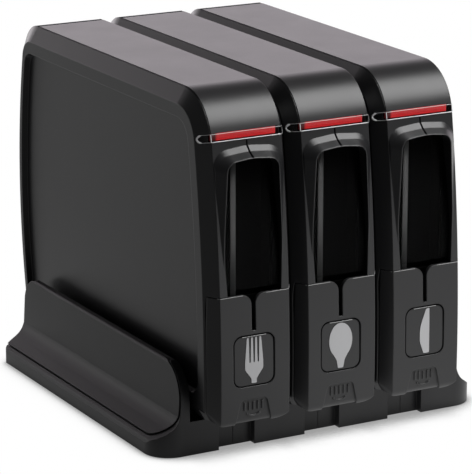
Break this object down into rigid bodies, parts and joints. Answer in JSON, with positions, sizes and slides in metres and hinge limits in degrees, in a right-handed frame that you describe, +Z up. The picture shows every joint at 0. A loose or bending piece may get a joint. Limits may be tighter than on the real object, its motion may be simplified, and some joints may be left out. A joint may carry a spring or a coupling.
{
  "type": "cutlery dispenser",
  "caption": "Countertop dispenser of side-by-side upright towers. Each holds packed cutlery behind a window and drops a piece at the bottom when its front lever is pushed.",
  "frame": {"origin": "centre of the whole object's footprint, on the surface that its feet stand on", "axes": "+X to the right seen from the front, +Y from the front to the back, +Z up"},
  "size_m": [0.275, 0.334, 0.268],
  "materials": {
    "housing_plastic": "moulded charcoal plastic with a very fine satin grain",
    "lid_plastic": "moulded charcoal plastic, satin, brighter than the housing where light falls on it",
    "lever_plastic": "moulded charcoal plastic with a very fine satin grain",
    "base_plastic": "moulded charcoal plastic, satin",
    "inner_plastic": "dark moulded plastic",
    "icon_plate_plastic": "smooth dark label plate",
    "pictogram_film": "light grey picture, satin",
    "red_flag": "glossy red",
    "clear_lens": "polished clear plastic",
    "smoked_pane": "polished smoke-tinted clear plastic",
    "pin_steel": "drawn steel rod",
    "spring_steel": "spring steel",
    "screw_steel": "zinc-plated steel",
    "foot_rubber": "matt black rubber"
  },
  "bodies": {
    "housing": {"fork_left_shell": "housing_plastic", "fork_right_shell": "housing_plastic", "fork_indicator_lens": "clear_lens", "fork_window_pane": "smoked_pane", "fork_magazine": "inner_plastic", "fork_lid_pin": "pin_steel", "fork_lever_pins": "pin_steel", "fork_return_spring": "spring_steel", "fork_shell_screws": "screw_steel", "spoon_left_shell": "housing_plastic", "spoon_right_shell": "housing_plastic", "spoon_indicator_lens": "clear_lens", "spoon_window_pane": "smoked_pane", "spoon_magazine": "inner_plastic", "spoon_lid_pin": "pin_steel", "spoon_lever_pins": "pin_steel", "spoon_return_spring": "spring_steel", "spoon_shell_screws": "screw_steel", "knife_left_shell": "housing_plastic", "knife_right_shell": "housing_plastic", "knife_indicator_lens": "clear_lens", "knife_window_pane": "smoked_pane", "knife_magazine": "inner_plastic", "knife_lid_pin": "pin_steel", "knife_lever_pins": "pin_steel", "knife_return_spring": "spring_steel", "knife_shell_screws": "screw_steel", "base_left_end": "base_plastic", "base_middle_left": "base_plastic", "base_middle_right": "base_plastic", "base_right_end": "base_plastic", "rubber_feet": "foot_rubber", "base_screws": "screw_steel"},
    "fork_push_lever": {"fork_lever": "lever_plastic", "fork_icon_plate": "icon_plate_plastic", "fork_pictogram": "pictogram_film"},
    "fork_refill_lid": {"fork_top_lid": "lid_plastic"},
    "fork_follower": {"fork_pusher": "inner_plastic", "fork_low_stock_flag": "red_flag", "fork_pusher_spring": "spring_steel"},
    "fork_gate": {"fork_release_gate": "inner_plastic"},
    "spoon_push_lever": {"spoon_lever": "lever_plastic", "spoon_icon_plate": "icon_plate_plastic", "spoon_pictogram": "pictogram_film"},
    "spoon_refill_lid": {"spoon_top_lid": "lid_plastic"},
    "spoon_follower": {"spoon_pusher": "inner_plastic", "spoon_low_stock_flag": "red_flag", "spoon_pusher_spring": "spring_steel"},
    "spoon_gate": {"spoon_release_gate": "inner_plastic"},
    "knife_push_lever": {"knife_lever": "lever_plastic", "knife_icon_plate": "icon_plate_plastic", "knife_pictogram": "pictogram_film"},
    "knife_refill_lid": {"knife_top_lid": "lid_plastic"},
    "knife_follower": {"knife_pusher": "inner_plastic", "knife_low_stock_flag": "red_flag", "knife_pusher_spring": "spring_steel"},
    "knife_gate": {"knife_release_gate": "inner_plastic"}
  },
  "joints": [
    {"name": "fork_lever_push", "type": "hinge", "parent": "housing", "child": "fork_push_lever", "pos_m": [-0.072, -0.145, 0.116], "axis": [1, 0, 0], "range_deg": [0, 6.5], "stiffness_Nm_per_rad": 0.6, "springref_deg": -5.73},
    {"name": "fork_gate_slide", "type": "slide", "parent": "housing", "child": "fork_gate", "axis": [0, 1, 0], "range_m": [0, 0.0095], "deforming": ["fork_return_spring"]},
    {"name": "fork_lid_open", "type": "hinge", "parent": "housing", "child": "fork_refill_lid", "pos_m": [-0.072, 0.128, 0.262], "axis": [-1, 0, 0], "range_deg": [0, 75]},
    {"name": "fork_follower_slide", "type": "slide", "parent": "housing", "child": "fork_follower", "axis": [0, 1, 0], "range_m": [0, 0.24], "stiffness_N_per_m": 10, "springref_m": -0.3},
    {"name": "spoon_lever_push", "type": "hinge", "parent": "housing", "child": "spoon_push_lever", "pos_m": [0, -0.145, 0.116], "axis": [1, 0, 0], "range_deg": [0, 6.5], "stiffness_Nm_per_rad": 0.6, "springref_deg": -5.73},
    {"name": "spoon_gate_slide", "type": "slide", "parent": "housing", "child": "spoon_gate", "axis": [0, 1, 0], "range_m": [0, 0.0095], "deforming": ["spoon_return_spring"]},
    {"name": "spoon_lid_open", "type": "hinge", "parent": "housing", "child": "spoon_refill_lid", "pos_m": [0, 0.128, 0.262], "axis": [-1, 0, 0], "range_deg": [0, 75]},
    {"name": "spoon_follower_slide", "type": "slide", "parent": "housing", "child": "spoon_follower", "axis": [0, 1, 0], "range_m": [0, 0.24], "stiffness_N_per_m": 10, "springref_m": -0.3},
    {"name": "knife_lever_push", "type": "hinge", "parent": "housing", "child": "knife_push_lever", "pos_m": [0.072, -0.145, 0.116], "axis": [1, 0, 0], "range_deg": [0, 6.5], "stiffness_Nm_per_rad": 0.6, "springref_deg": -5.73},
    {"name": "knife_gate_slide", "type": "slide", "parent": "housing", "child": "knife_gate", "axis": [0, 1, 0], "range_m": [0, 0.0095], "deforming": ["knife_return_spring"]},
    {"name": "knife_lid_open", "type": "hinge", "parent": "housing", "child": "knife_refill_lid", "pos_m": [0.072, 0.128, 0.262], "axis": [-1, 0, 0], "range_deg": [0, 75]},
    {"name": "knife_follower_slide", "type": "slide", "parent": "housing", "child": "knife_follower", "axis": [0, 1, 0], "range_m": [0, 0.24], "stiffness_N_per_m": 10, "springref_m": -0.3}
  ],
  "couplings": [
    {"joint": "fork_gate_slide", "follows": "fork_lever_push", "m_per_rad": 0.08},
    {"joint": "spoon_gate_slide", "follows": "spoon_lever_push", "m_per_rad": 0.08},
    {"joint": "knife_gate_slide", "follows": "knife_lever_push", "m_per_rad": 0.08}
  ]
}
